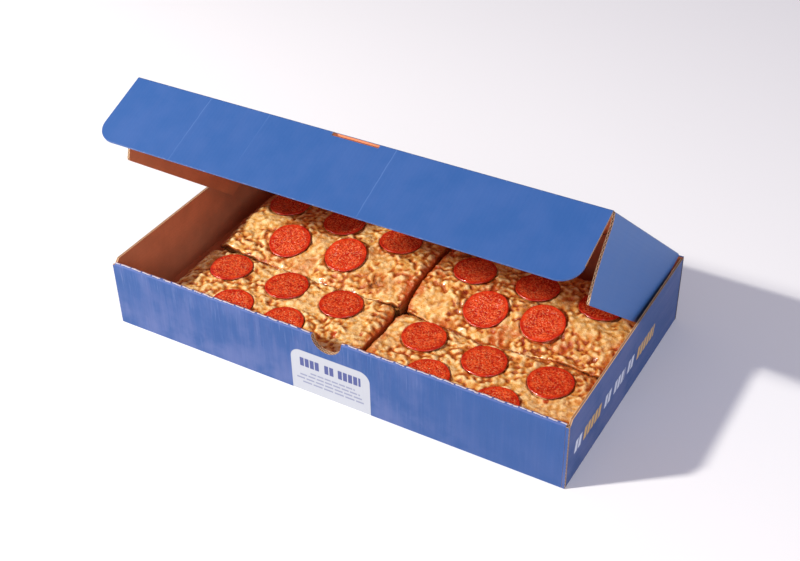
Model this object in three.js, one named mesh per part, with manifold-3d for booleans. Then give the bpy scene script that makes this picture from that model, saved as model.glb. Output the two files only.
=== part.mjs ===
// A four-slice pepperoni pizza in its corrugated takeaway box, lid propped half open.
// Millimetres, +Z up. The origin is the middle of the tray's footprint, on the surface it stands on.
// X runs along the long front wall, Y from the front wall to the lid's hinge.
import * as THREE from "three";
import { mergeVertices } from "three/addons/utils/BufferGeometryUtils.js";
import Module from "manifold-3d";

const wasm = await Module();
wasm.setup();

// ---------------------------------------------------------------- driving dimensions
const BOARD = 1.7; // thickness of the corrugated board
const CLEAR = 0.35; // room between pieces that touch or turn past each other

const TRAY = {
  length: 380,
  width: 211.4,
  frontWall: 57, // height of the rolled front wall
  sideWall: 58,
  backWall: 58.8,
  frontThickness: 3.6, // two plies of board, folded over at the top
  cornerSlit: 0.4, // open seam beside each end of the front wall
  sideChamfer: 4, // cut at the front top corner of each side wall
  notchX: 3.5, // middle of the thumb notch
  notchRadius: 12.5,
  notchDepth: 13.6,
};

const LID = {
  left: -186,
  right: 187,
  reach: 202, // hinge line to the front fold line
  openDegrees: 39.85,
};

const FRONT_FLAP = {
  foldDegrees: 61.5, // turn from the lid's plane
  length: 58, // from its fold line
  sideInset: 0.4,
  cornerRadius: 15,
  slotX: 1.5,
  slotLength: 37,
  slotHeight: 2.2,
};

const SIDE_FLAP = {
  leftFoldDegrees: 89.3,
  rightFoldDegrees: 92,
  length: 58.4,
  frontAtFold: 198.4, // distances along the lid from its hinge line
  frontAtShoulder: 194.8,
  frontAtFoot: 186,
  shoulder: 12, // how far below the fold the front edge starts to slant
  footRadius: 3,
  rearAtFold: 3,
  rearAtFoot: 34,
};

const SLICE = {
  columns: 12, // grid cells along and across a slice
  rows: 7,
  cornerPull: 2.4, // how far a rounded corner sits inside the square one
  floorGap: CLEAR,
  cheese: 3.6, // depth of each layer
  sauce: 1.2,
  shoulder: 2.2, // how far the cheese rounds down at the slice's rim
  lump: 0.7, // height of the cheese's lumps
  edgeWobble: 1.1,
};

const PEPPERONI = { radius: 17.4, thickness: 2.1, rim: 0.7, sides: 14, sunk: 0.4 };

// The back slices swell from a low front rim to a thick plateau; the front slices lie nearly level.
const SLICES = [
  {
    name: "back_left",
    x: [-168, 7.2],
    y: [-8.9, 85],
    join: "front",
    wave: 0.8,
    rim: 20.2,
    plateau: 29.8,
    cornerLift: 5,
    leftDrop: 6,
    pepperoni: [[-139.6, 59.9], [-83.5, 57.1], [-29.1, 56.5], [-112, 18.3], [-60.3, 22]],
  },
  {
    name: "back_right",
    x: [9.6, 180.5],
    y: [-13, 84],
    join: "front",
    wave: 3.6,
    rim: 20.2,
    plateau: 29.8,
    cornerLift: 0,
    leftDrop: 0,
    pepperoni: [[42.4, 49.4], [94.8, 52.3], [147.5, 53.6], [70, 13.6], [115.8, 17.4]],
  },
  {
    name: "front_left",
    x: [-171, 7.2],
    y: [-91, -9.4],
    join: "back",
    wave: 0.8,
    rim: 19.5,
    plateau: 20.6,
    cornerLift: 0,
    leftDrop: 4,
    pepperoni: [[-137.5, -28.5], [-84.5, -27.8], [-34, -27.8], [-110, -67], [-62.5, -67.5]],
  },
  {
    name: "front_right",
    x: [9.6, 180.5],
    y: [-91, -13.5],
    join: "back",
    wave: 3.6,
    rim: 19.5,
    plateau: 20.6,
    cornerLift: 0,
    leftDrop: 0,
    pepperoni: [[41.5, -32], [94, -35.8], [146, -34], [64, -69], [121, -72]],
  },
];
const SWELL_RUN = 45; // how far behind the front rim a back slice reaches its plateau

// ---------------------------------------------------------------- derived places
const HALF_LENGTH = TRAY.length / 2;
const HALF_WIDTH = TRAY.width / 2;
const HINGE_Y = HALF_WIDTH - BOARD / 2;
const HINGE_Z = TRAY.backWall + BOARD / 2 + CLEAR;
const INNER_FACE = -BOARD / 2; // of the lid, in the lid's own frame
const radians = THREE.MathUtils.degToRad;

// ---------------------------------------------------------------- finishes
const finish = (color, roughness) => new THREE.MeshStandardMaterial({ color, roughness, metalness: 0 });
const BLUE_BOARD = finish(0x4f74bb, 0.6);
const DOUGH = finish(0xd9a866, 0.85);
const SAUCE = finish(0xa8321a, 0.5);
const CHEESE = finish(0xe9c886, 0.45);
const MEAT = finish(0xc4301c, 0.4);

// ---------------------------------------------------------------- joining and cutting
function toSolid(geometry) {
  const bare = geometry.index ? geometry.toNonIndexed() : geometry.clone();
  bare.deleteAttribute("normal");
  bare.deleteAttribute("uv");
  const merged = mergeVertices(bare, 1e-4);
  return new wasm.Manifold(
    new wasm.Mesh({
      numProp: 3,
      vertProperties: new Float32Array(merged.attributes.position.array),
      triVerts: new Uint32Array(merged.index.array),
    }),
  );
}

function toGeometry(solid) {
  const mesh = solid.getMesh();
  const geometry = new THREE.BufferGeometry();
  geometry.setAttribute("position", new THREE.BufferAttribute(new Float32Array(mesh.vertProperties), 3));
  geometry.setIndex(new THREE.BufferAttribute(new Uint32Array(mesh.triVerts), 1));
  geometry.computeVertexNormals();
  return geometry;
}

// A box between two corners.
function block(low, high) {
  const size = high.map((value, k) => value - low[k]);
  const middle = high.map((value, k) => (value + low[k]) / 2);
  return new THREE.BoxGeometry(...size).translate(...middle);
}

// An outline in the Y-Z plane, carried along X from one side to the other.
function alongX(shape, from, to) {
  const geometry = new THREE.ExtrudeGeometry(shape, { depth: to - from, bevelEnabled: false, curveSegments: 8 });
  const yzToX = new THREE.Matrix4().set(0, 0, 1, from, 1, 0, 0, 0, 0, 1, 0, 0, 0, 0, 0, 1);
  return geometry.applyMatrix4(yzToX);
}

function polygon(points) {
  return new THREE.Shape(points.map(([a, b]) => new THREE.Vector2(a, b)));
}

// ---------------------------------------------------------------- tray
// Floor and three single walls; the front wall is two plies rolled over at the top, with an open
// seam at each end and a round thumb notch near its middle.
function trayGeometry() {
  const front = -HALF_WIDTH;
  const plyBack = front + BOARD;
  const sideStart = plyBack + TRAY.cornerSlit;
  const floor = block([-HALF_LENGTH, front, 0], [HALF_LENGTH, HALF_WIDTH, BOARD]);
  const backWall = block([-HALF_LENGTH, HALF_WIDTH - BOARD, 0], [HALF_LENGTH, HALF_WIDTH, TRAY.backWall]);

  const side = polygon([
    [sideStart, 0],
    [HALF_WIDTH, 0],
    [HALF_WIDTH, TRAY.sideWall],
    [sideStart + TRAY.sideChamfer, TRAY.sideWall],
    [sideStart, TRAY.sideWall - TRAY.sideChamfer],
  ]);
  const leftWall = alongX(side, -HALF_LENGTH, -HALF_LENGTH + BOARD);
  const rightWall = alongX(side, HALF_LENGTH - BOARD, HALF_LENGTH);

  const roll = TRAY.frontThickness / 2;
  const rolled = new THREE.Shape();
  rolled.moveTo(front, 0);
  rolled.lineTo(front + TRAY.frontThickness, 0);
  rolled.lineTo(front + TRAY.frontThickness, TRAY.frontWall - roll);
  rolled.absarc(front + roll, TRAY.frontWall - roll, roll, 0, Math.PI, false);
  rolled.lineTo(front, 0);
  const innerEnd = HALF_LENGTH - BOARD - TRAY.cornerSlit;
  const doubleWall = alongX(rolled, -innerEnd, innerEnd);
  const outerPly = block([-HALF_LENGTH, front, 0], [HALF_LENGTH, plyBack, TRAY.frontWall - roll]);

  const notch = new THREE.CylinderGeometry(TRAY.notchRadius, TRAY.notchRadius, 12, 28);
  const notchZ = TRAY.frontWall - TRAY.notchDepth + TRAY.notchRadius;
  notch.translate(TRAY.notchX, front + roll, notchZ);
  const notchTop = block(
    [TRAY.notchX - TRAY.notchRadius, front - 4, notchZ],
    [TRAY.notchX + TRAY.notchRadius, front + 8, TRAY.frontWall + 4],
  );

  const walls = [backWall, leftWall, rightWall, doubleWall, outerPly];
  const joined = walls.reduce((sum, wall) => sum.add(toSolid(wall)), toSolid(floor));
  return toGeometry(joined.subtract(toSolid(notch)).subtract(toSolid(notchTop)));
}

// ---------------------------------------------------------------- lid and flaps
// The lid's own frame: hinge line on the X axis through the middle of the board, lid towards -Y.
// Its back end is a round knuckle on the hinge line; its other three ends are hollowed round the
// fold lines, which lie on its inner face.
function lidGeometry() {
  const half = BOARD / 2;
  const profile = new THREE.Shape();
  profile.moveTo(-LID.reach, INNER_FACE);
  profile.lineTo(0, -half);
  profile.absarc(0, 0, half, -Math.PI / 2, Math.PI / 2, false);
  profile.lineTo(-LID.reach, half);
  const sheet = toSolid(alongX(profile, LID.left + BOARD, LID.right - BOARD));
  const hollow = BOARD + CLEAR;
  const across = LID.right - LID.left + 20;
  const middle = (LID.left + LID.right) / 2;
  const frontHollow = new THREE.CylinderGeometry(hollow, hollow, across, 24).rotateZ(Math.PI / 2);
  frontHollow.translate(middle, -LID.reach, INNER_FACE);
  let lid = sheet.subtract(toSolid(frontHollow));
  for (const x of [LID.left + BOARD, LID.right - BOARD]) {
    const sideHollow = new THREE.CylinderGeometry(hollow, hollow, SIDE_FLAP.frontAtFold + 1, 24);
    sideHollow.translate(x, -SIDE_FLAP.frontAtFold / 2 - 0.5, INNER_FACE);
    lid = lid.subtract(toSolid(sideHollow));
  }
  return toGeometry(lid);
}

// A flap lies in the X-Y plane of its own frame: fold line on the X axis, board towards -Y,
// inner face down at z = 0. A quarter-round knuckle of the board's thickness runs along the fold
// and laps a little into the sheet.
function flapGeometry(outline, knuckleFrom, knuckleTo, cuts = []) {
  const sheet = new THREE.ExtrudeGeometry(outline, { depth: BOARD, bevelEnabled: false, curveSegments: 6 });
  const quarter = new THREE.Shape();
  quarter.moveTo(-0.2, 0);
  quarter.lineTo(BOARD, 0);
  quarter.absarc(0, 0, BOARD, 0, Math.PI / 2, false);
  quarter.lineTo(-0.2, BOARD);
  const knuckle = alongX(quarter, knuckleFrom, knuckleTo);
  const whole = toSolid(sheet).add(toSolid(knuckle));
  return toGeometry(cuts.reduce((rest, cut) => rest.subtract(toSolid(cut)), whole));
}

function frontFlapGeometry() {
  const left = LID.left + FRONT_FLAP.sideInset;
  const right = LID.right - FRONT_FLAP.sideInset;
  const foot = -FRONT_FLAP.length;
  const r = FRONT_FLAP.cornerRadius;
  const outline = new THREE.Shape();
  outline.moveTo(left, 0);
  outline.lineTo(left, foot + r);
  outline.absarc(left + r, foot + r, r, Math.PI, 1.5 * Math.PI, false);
  outline.lineTo(right - r, foot);
  outline.absarc(right - r, foot + r, r, 1.5 * Math.PI, 2 * Math.PI, false);
  outline.lineTo(right, 0);
  const slotStart = FRONT_FLAP.slotX - FRONT_FLAP.slotLength / 2;
  const slot = block(
    [slotStart, -FRONT_FLAP.slotHeight, -1],
    [slotStart + FRONT_FLAP.slotLength, BOARD + 1, BOARD + 1],
  );
  return flapGeometry(outline, left, right, [slot]);
}

// Side flap: its X runs along the lid from the hinge line; a slanting rear edge clears the back wall.
function sideFlapGeometry() {
  const flap = SIDE_FLAP;
  const foot = -flap.length;
  const r = flap.footRadius;
  const outline = new THREE.Shape();
  outline.moveTo(flap.rearAtFold, 0);
  outline.lineTo(flap.rearAtFoot, foot);
  outline.lineTo(flap.frontAtFoot - r, foot);
  outline.absarc(flap.frontAtFoot - r, foot + r, r, -Math.PI / 2, 0, false);
  outline.quadraticCurveTo(flap.frontAtShoulder - 1.5, foot * 0.7, flap.frontAtShoulder, -flap.shoulder);
  outline.quadraticCurveTo(flap.frontAtShoulder, -flap.shoulder / 3, flap.frontAtFold, 0);
  return flapGeometry(outline, flap.rearAtFold, flap.frontAtFold);
}

// ---------------------------------------------------------------- slices
const clamp01 = (value) => Math.min(1, Math.max(0, value));
const smooth = (t) => t * t * (3 - 2 * t);

// Lumps of melted cheese: a few crossing waves of unlike lengths.
function lumps(x, y) {
  const a = Math.sin(x * 0.23 + 1.3 * Math.sin(y * 0.11));
  const b = Math.sin(y * 0.31 + 1.1 * Math.sin(x * 0.09) + 2);
  const c = Math.sin((x + y) * 0.17 + 0.7);
  return (a + b + c) / 3;
}

// Height of the smooth top of a slice, before lumps.
function sliceTop(slice, x, y) {
  const run = clamp01((y - slice.y[0]) / SWELL_RUN);
  const fromLeft = clamp01((x - slice.x[0]) / 70);
  const fromFront = clamp01((y - slice.y[0]) / 40);
  const lift = slice.cornerLift * (1 - smooth(fromLeft)) * (1 - smooth(fromFront));
  const drop = slice.leftDrop * (1 - clamp01((x - slice.x[0]) / 16)) ** 2;
  return slice.rim + (slice.plateau - slice.rim) * smooth(run) + lift - drop;
}

// The wandering line where a front slice meets the one behind it.
function joinWave(slice, x) {
  return slice.wave * Math.sin((2 * Math.PI * (x - 112)) / 136) * clamp01((x + 200) / 100);
}

// A point of the slice's outline: a and b run from -1 to 1 across it.
function slicePlan(slice, a, b, inset) {
  const halfX = (slice.x[1] - slice.x[0]) / 2;
  const halfY = (slice.y[1] - slice.y[0]) / 2;
  const corner = Math.abs(a) ** 6 * Math.abs(b) ** 6 * SLICE.cornerPull;
  const wobbleX = SLICE.edgeWobble * 0.5 * (Math.sin(b * 5 + slice.x[0]) - 1) * a ** 4;
  const wobbleY = SLICE.edgeWobble * 0.5 * (Math.sin(a * 9 + slice.y[0]) - 1) * b ** 4;
  const x = (slice.x[0] + slice.x[1]) / 2 + a * (halfX - inset - corner + wobbleX);
  const y = (slice.y[0] + slice.y[1]) / 2 + b * (halfY - inset - corner + wobbleY);
  const towardsJoin = clamp01(slice.join === "front" ? -b : b);
  return [x, y + towardsJoin ** 4 * joinWave(slice, x)];
}

// Closed body between two height functions over a slice's outline. Each ring in sideRings is a
// pair [inset, share], with share running from 0 at the bottom to 1 at the top.
function layerGeometry(slice, bottom, top, insets, sideRings) {
  const { columns, rows } = SLICE;
  const points = [];
  const faces = [];
  const rim = [];
  for (let i = 0; i < columns; i += 1) rim.push([i, 0]);
  for (let j = 0; j < rows; j += 1) rim.push([columns, j]);
  for (let i = columns; i > 0; i -= 1) rim.push([i, rows]);
  for (let j = rows; j > 0; j -= 1) rim.push([0, j]);

  const place = (i, j, inset) => slicePlan(slice, (2 * i) / columns - 1, (2 * j) / rows - 1, inset);
  const addCap = (height, inset) => {
    const start = points.length;
    for (let j = 0; j <= rows; j += 1) {
      for (let i = 0; i <= columns; i += 1) {
        const [x, y] = place(i, j, inset);
        points.push([x, y, height(x, y)]);
      }
    }
    return (i, j) => start + j * (columns + 1) + i;
  };
  const lower = addCap(bottom, insets[0]);
  const upper = addCap(top, insets[1]);
  for (let j = 0; j < rows; j += 1) {
    for (let i = 0; i < columns; i += 1) {
      faces.push([upper(i, j), upper(i + 1, j), upper(i + 1, j + 1)]);
      faces.push([upper(i, j), upper(i + 1, j + 1), upper(i, j + 1)]);
      faces.push([lower(i, j), lower(i + 1, j + 1), lower(i + 1, j)]);
      faces.push([lower(i, j), lower(i, j + 1), lower(i + 1, j + 1)]);
    }
  }
  const rings = [rim.map(([i, j]) => lower(i, j))];
  for (const [inset, share] of sideRings) {
    rings.push(
      rim.map(([i, j]) => {
        const [x, y] = place(i, j, inset);
        points.push([x, y, bottom(x, y) * (1 - share) + top(x, y) * share]);
        return points.length - 1;
      }),
    );
  }
  rings.push(rim.map(([i, j]) => upper(i, j)));
  for (let k = 0; k + 1 < rings.length; k += 1) {
    for (let n = 0; n < rim.length; n += 1) {
      const m = (n + 1) % rim.length;
      faces.push([rings[k][n], rings[k][m], rings[k + 1][m]]);
      faces.push([rings[k][n], rings[k + 1][m], rings[k + 1][n]]);
    }
  }
  const geometry = new THREE.BufferGeometry();
  geometry.setAttribute("position", new THREE.Float32BufferAttribute(points.flat(), 3));
  geometry.setIndex(faces.flat());
  geometry.computeVertexNormals();
  return geometry;
}

// Distance from a point to the nearest side of the slice that is not joined to another slice.
function toRim(slice, x, y) {
  const free = slice.join === "front" ? slice.y[1] - y : y - slice.y[0];
  return Math.min(x - slice.x[0], slice.x[1] - x, free);
}

// Top of the cheese: it rounds down at the rim, and its lumps die away under each pepperoni.
function cheeseTop(slice, x, y) {
  const rim = clamp01(toRim(slice, x, y) / 9);
  const shoulder = SLICE.shoulder * (1 - rim) ** 2;
  const nearest = Math.min(...slice.pepperoni.map(([px, py]) => Math.hypot(x - px, y - py)));
  const open = smooth(clamp01((nearest - PEPPERONI.radius + 2) / 8));
  return sliceTop(slice, x, y) - shoulder + SLICE.lump * open * lumps(x, y);
}

function sliceMeshes(slice) {
  const floor = BOARD + SLICE.floorGap;
  const under = (depth) => (x, y) => {
    const rim = clamp01(toRim(slice, x, y) / 9);
    return sliceTop(slice, x, y) - SLICE.shoulder * (1 - rim) ** 2 - depth;
  };
  const cheeseUnder = under(SLICE.cheese);
  const sauceTop = under(SLICE.cheese + CLEAR);
  const sauceUnder = under(SLICE.cheese + CLEAR + SLICE.sauce);
  const doughTop = under(SLICE.cheese + 2 * CLEAR + SLICE.sauce);
  const dough = layerGeometry(slice, () => floor, doughTop, [3, 1.6], [[0.9, 0.12], [0.6, 0.55]]);
  const sauce = layerGeometry(slice, sauceUnder, sauceTop, [1.2, 1.1], []);
  const blank = layerGeometry(slice, cheeseUnder, (x, y) => cheeseTop(slice, x, y), [1, 1.5], [[0.4, 0.5]]);
  const cheese = seatPepperoni(slice, blank);
  const named = (geometry, material, layer) => {
    const mesh = new THREE.Mesh(geometry, material);
    mesh.name = `${layer}_${slice.name}`;
    return mesh;
  };
  return [named(dough, DOUGH, "dough"), named(sauce, SAUCE, "sauce"), named(cheese, CHEESE, "cheese")];
}

// ---------------------------------------------------------------- pepperoni
// A round of sausage: flat below, a low raised rim, gently hollow in the middle.
function pepperoniGeometry() {
  const { radius, thickness, rim, sides } = PEPPERONI;
  const profile = [
    [0, 0],
    [radius - 0.6, 0],
    [radius, 0.7],
    [radius - 0.5, thickness],
    [radius - 4, thickness - rim * 0.6],
    [0, thickness - rim],
  ];
  const points = profile.map(([r, z]) => new THREE.Vector2(r, z));
  return new THREE.LatheGeometry(points, sides).rotateX(Math.PI / 2);
}

// Where a round rests: sunk a little into the cheese and tilted with the slice below it.
function seatMatrix(slice, [px, py]) {
  const step = 8;
  const slopeX = (sliceTop(slice, px + step, py) - sliceTop(slice, px - step, py)) / (2 * step);
  const slopeY = (sliceTop(slice, px, py + step) - sliceTop(slice, px, py - step)) / (2 * step);
  const normal = new THREE.Vector3(-slopeX, -slopeY, 1).normalize();
  const turn = new THREE.Quaternion().setFromUnitVectors(new THREE.Vector3(0, 0, 1), normal);
  const place = new THREE.Vector3(px, py, sliceTop(slice, px, py) - PEPPERONI.sunk);
  return new THREE.Matrix4().compose(place, turn, new THREE.Vector3(1, 1, 1));
}

// Presses a shallow round seat into the cheese under each pepperoni.
function seatPepperoni(slice, blank) {
  const radius = PEPPERONI.radius + 0.4;
  let cheese = toSolid(blank);
  for (const centre of slice.pepperoni) {
    const seat = new THREE.CylinderGeometry(radius, radius, 12, PEPPERONI.sides).rotateX(Math.PI / 2);
    seat.translate(0, 0, 6 - CLEAR).applyMatrix4(seatMatrix(slice, centre));
    cheese = cheese.subtract(toSolid(seat));
  }
  return toGeometry(cheese);
}

function pepperoniMesh(slice, index) {
  const mesh = new THREE.Mesh(pepperoniGeometry(), MEAT);
  mesh.name = `pepperoni_${slice.name}_${index + 1}`;
  mesh.applyMatrix4(seatMatrix(slice, slice.pepperoni[index]));
  return mesh;
}

// ---------------------------------------------------------------- assembly
function boardMesh(name, geometry) {
  const mesh = new THREE.Mesh(geometry, BLUE_BOARD);
  mesh.name = name;
  return mesh;
}

// Turns a side flap's own frame into the lid's: its X runs along the lid towards the front, and the
// fold turns it down from the lid's plane. The right flap is the left one's mirror image.
function sideFold(side, foldDegrees) {
  const turn = radians(foldDegrees);
  const along = new THREE.Vector3(0, -1, 0);
  const upFlap = new THREE.Vector3(-side * Math.cos(turn), 0, Math.sin(turn));
  const outward = new THREE.Vector3(side * Math.sin(turn), 0, Math.cos(turn));
  return new THREE.Matrix4().makeBasis(along, upFlap, outward);
}

function lidGroup() {
  const lid = new THREE.Group();
  lid.position.set(0, HINGE_Y, HINGE_Z);
  lid.rotation.x = -radians(LID.openDegrees);
  lid.add(boardMesh("lid_panel", lidGeometry()));

  const front = boardMesh("lid_front_flap", frontFlapGeometry());
  front.position.set(0, -LID.reach, INNER_FACE);
  front.rotation.x = radians(FRONT_FLAP.foldDegrees);
  lid.add(front);

  const left = boardMesh("lid_left_flap", sideFlapGeometry());
  left.applyMatrix4(sideFold(-1, SIDE_FLAP.leftFoldDegrees));
  left.position.set(LID.left + BOARD, 0, INNER_FACE);
  lid.add(left);

  const right = boardMesh("lid_right_flap", sideFlapGeometry());
  right.applyMatrix4(sideFold(1, SIDE_FLAP.rightFoldDegrees));
  right.position.set(LID.right - BOARD, 0, INNER_FACE);
  lid.add(right);
  return lid;
}

const part = new THREE.Group();
part.add(boardMesh("tray", trayGeometry()));
part.add(lidGroup());
for (const slice of SLICES) {
  part.add(...sliceMeshes(slice));
  slice.pepperoni.forEach((_, index) => part.add(pepperoniMesh(slice, index)));
}

export default part;
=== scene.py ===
"""Pepperoni pizza in its box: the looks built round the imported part. Sizes are in millimetres, in the
part's frame."""

import math

import bmesh
import bpy
import numpy as np
from mathutils import Matrix, Vector


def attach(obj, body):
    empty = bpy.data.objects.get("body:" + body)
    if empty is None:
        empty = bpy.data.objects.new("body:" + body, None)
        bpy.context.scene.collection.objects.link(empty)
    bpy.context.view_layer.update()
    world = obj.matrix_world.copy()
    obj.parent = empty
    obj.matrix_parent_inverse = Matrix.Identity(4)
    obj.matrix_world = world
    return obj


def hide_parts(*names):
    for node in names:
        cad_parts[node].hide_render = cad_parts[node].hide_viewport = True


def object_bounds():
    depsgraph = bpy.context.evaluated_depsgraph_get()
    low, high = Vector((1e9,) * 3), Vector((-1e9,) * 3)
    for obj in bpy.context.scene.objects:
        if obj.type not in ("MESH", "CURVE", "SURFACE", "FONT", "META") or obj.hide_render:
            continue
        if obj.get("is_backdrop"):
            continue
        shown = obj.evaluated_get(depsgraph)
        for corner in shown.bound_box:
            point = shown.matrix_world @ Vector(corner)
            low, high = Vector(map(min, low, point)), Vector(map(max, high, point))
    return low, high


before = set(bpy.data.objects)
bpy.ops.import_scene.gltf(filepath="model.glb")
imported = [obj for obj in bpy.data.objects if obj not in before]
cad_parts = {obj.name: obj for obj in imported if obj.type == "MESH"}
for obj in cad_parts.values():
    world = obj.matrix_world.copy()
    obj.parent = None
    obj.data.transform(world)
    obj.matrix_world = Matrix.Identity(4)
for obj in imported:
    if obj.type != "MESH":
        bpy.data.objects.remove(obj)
packed_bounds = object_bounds()

MM = 0.001

# ------------------------------------------------------------------ sizes of the box
BOARD = 1.7
LENGTH, WIDTH = 380.0, 211.4
FRONT_WALL, SIDE_WALL, BACK_WALL = 57.0, 58.0, 58.8
FRONT_THICKNESS = 3.6
CORNER_SLIT = 0.4
FLOOR_INSET = 0.1  # keeps the floor's edge behind the walls' faces
SIDE_CHAMFER = 4.0
NOTCH_X, NOTCH_RADIUS, NOTCH_DEPTH = 3.5, 12.5, 13.6
FLUTE = 3.1  # pitch of the corrugations

LID_LEFT, LID_RIGHT, LID_REACH = -186.0, 187.0, 202.0
LID_OPEN = math.radians(39.85)
FRONT_FOLD = math.radians(61.5)
FRONT_FLAP, FLAP_INSET, FLAP_CORNER = 58.0, 0.4, 15.0
SLOT_X, SLOT_LENGTH, SLOT_HEIGHT = 1.5, 37.0, 2.2
SIDE_FLAP = 58.4
LEFT_FOLD, RIGHT_FOLD = math.radians(89.3), math.radians(92)
HINGE = np.array([0.0, WIDTH / 2 - BOARD / 2, BACK_WALL + BOARD / 2 + 0.35])
RUB = 0.03  # gap left between a fold's knuckle and the hollow it turns in

# ------------------------------------------------------------------ sizes of the pizza
FOOD_FLOOR = BOARD + 0.35
CHEESE, SAUCE, LAYER_GAP = 3.6, 1.2, 0.35
LOOK_GAP = 0.1  # left between a layer and the one above it
SHOULDER = 2.2  # how far the top drops at a slice's free sides
SWELL_RUN = 45.0  # depth over which a slice rises from rim to plateau
ROUND_RADIUS, ROUND_THICKNESS = 17.4, 2.1
SPACING = 0.6  # of the cheese's grid
SLICES = {
    "back_left": dict(
        x=(-168, 7.2), y=(-8.9, 85), join=-1, wave=0.8, rim=20.2, plateau=29.8,
        lift=5, drop=6, bake=0.6, seed=3,
        rounds=[(-139.6, 59.9), (-83.5, 57.1), (-29.1, 56.5), (-112, 18.3), (-60.3, 22)],
    ),
    "back_right": dict(
        x=(9.6, 180.5), y=(-13, 84), join=-1, wave=3.6, rim=20.2, plateau=29.8,
        lift=0, drop=0, bake=0.9, seed=8,
        rounds=[(42.4, 49.4), (94.8, 52.3), (147.5, 53.6), (70, 13.6), (115.8, 17.4)],
    ),
    "front_left": dict(
        x=(-171, 7.2), y=(-91, -9.4), join=1, wave=0.8, rim=19.5, plateau=20.6,
        lift=0, drop=4, bake=0.1, seed=15,
        rounds=[(-137.5, -28.5), (-84.5, -27.8), (-34, -27.8), (-110, -67), (-62.5, -67.5)],
    ),
    "front_right": dict(
        x=(9.6, 180.5), y=(-91, -13.5), join=1, wave=3.6, rim=19.5, plateau=20.6,
        lift=0, drop=0, bake=0.3, seed=21,
        rounds=[(41.5, -32), (94, -35.8), (146, -34), (64, -69), (121, -72)],
    ),
}


# ------------------------------------------------------------------ shader expressions
class Value:
    """A shader socket that takes part in Python arithmetic."""

    def __init__(self, shader, socket):
        self.shader, self.socket = shader, socket

    def math(self, operation, *others):
        return self.shader.node("Math", {"operation": operation}, self, *others)

    def __add__(self, other):
        return self.math("ADD", other)

    def __sub__(self, other):
        return self.math("SUBTRACT", other)

    def __rsub__(self, other):
        return self.shader.node("Math", {"operation": "SUBTRACT"}, other, self)

    def __mul__(self, other):
        return self.math("MULTIPLY", other)

    def __truediv__(self, other):
        return self.math("DIVIDE", other)

    def __pow__(self, other):
        return self.math("POWER", other)

    def __abs__(self):
        return self.math("ABSOLUTE")

    __radd__ = __add__
    __rmul__ = __mul__

    def sin(self):
        return self.math("SINE")

    def most(self, other):
        return self.math("MAXIMUM", other)

    def ramp(self, low, high):
        """0 below low, 1 above high, smooth between; low may be the larger, which turns it round."""
        settings = {"interpolation_type": "SMOOTHSTEP"}
        return self.shader.node("MapRange", settings, self, low, high, 0.0, 1.0)


class Shader:
    """A material being written as expressions."""

    def __init__(self, name, **constants):
        self.material = bpy.data.materials.new(name)
        self.material.use_nodes = True
        self.tree = self.material.node_tree
        self.surface = self.tree.nodes["Principled BSDF"]
        for socket, value in constants.items():
            self.surface.inputs[socket.replace("_", " ").title().replace("Ior", "IOR")].default_value = value

    def node(self, kind, settings=None, *values, output=0, **named):
        """Adds one node; values fill its sockets in order or by name, and output picks what it gives."""
        made = self.tree.nodes.new("ShaderNode" + kind)
        for key, value in (settings or {}).items():
            setattr(made, key, value)
        for key, value in [*enumerate(values), *named.items()]:
            socket = made.inputs[key]
            if isinstance(value, Value):
                self.tree.links.new(value.socket, socket)
            else:
                socket.default_value = value
        return Value(self, made.outputs[output])

    def place(self):
        """Object coordinates in millimetres."""
        at = self.node("TexCoord", output="Object")
        return self.node("VectorMath", {"operation": "SCALE"}, at, Scale=1000.0)

    def flat(self):
        """The two distances, in millimetres, along a panel: across its flutes and along them."""
        at = self.node("UVMap")
        parts = self.node("SeparateXYZ", None, at)
        across = parts * 1000.0
        along = Value(self, parts.socket.node.outputs[1]) * 1000.0
        return across, along

    def field(self, name):
        """A number stored on the mesh."""
        return self.node("Attribute", {"attribute_name": name}, output="Fac")

    def vector(self, x, y, z=0.0):
        return self.node("CombineXYZ", None, x, y, z)

    def noise(self, at, size, detail=3.0, roughness=0.55):
        """Cloudy noise from 0 to 1, its lumps about size millimetres across."""
        return self.node("TexNoise", None, Vector=at, Scale=1.0 / size, Detail=detail, Roughness=roughness)

    def spots(self, at, size):
        """Distance, in lump sizes, to the nearest of scattered points."""
        return self.node("TexVoronoi", None, Vector=at, Scale=1.0 / size)

    def mix(self, share, low, high):
        """The colour low where share is 0, high where it is 1."""
        made = self.node("Mix", {"data_type": "RGBA"}, output=2)
        inputs = made.socket.node.inputs
        for socket, value in ((inputs[0], share), (inputs[6], low), (inputs[7], high)):
            if isinstance(value, Value):
                self.tree.links.new(value.socket, socket)
            elif isinstance(value, (int, float)):
                socket.default_value = value
            else:
                socket.default_value = (*value, 1.0)
        return made

    def feed(self, **sockets):
        """Wires values into the surface's own sockets."""
        for name, value in sockets.items():
            self.tree.links.new(value.socket, self.surface.inputs[name.replace("_", " ").title()])

    def bump(self, height, depth):
        """Raises the surface by height, in units of depth millimetres."""
        made = self.node("Bump", None, Strength=1.0, Distance=depth * MM, Height=height)
        self.tree.links.new(made.socket, self.surface.inputs["Normal"])


# ------------------------------------------------------------------ materials of the board
BLUE = (0.022, 0.088, 0.285)
# The walls' blue is a darker copy of the lid's ink: painted shade that offsets the stronger light on the
# walls.
WALL_BLUE_PAINTED_SHADE = (0.017, 0.068, 0.235)
# The side flaps' blue is a lighter copy of the lid's ink: a painted sheen, the pale floor's reflection.
FLAP_BLUE_PAINTED_SHEEN = (0.046, 0.145, 0.400)
PALE_PRINT = (0.41, 0.43, 0.48)
DARK_PRINT = (0.030, 0.045, 0.20)
WHITE_PRINT = (0.66, 0.70, 0.80)
GOLD_PRINT = (0.66, 0.40, 0.10)
KRAFT = (0.56, 0.20, 0.095)
KRAFT_PALE = (0.60, 0.40, 0.24)
# Painted shade for the hollows inside the flutes at a cut edge.
FLUTE_HOLLOW_SHADE = (0.075, 0.028, 0.016)


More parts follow.
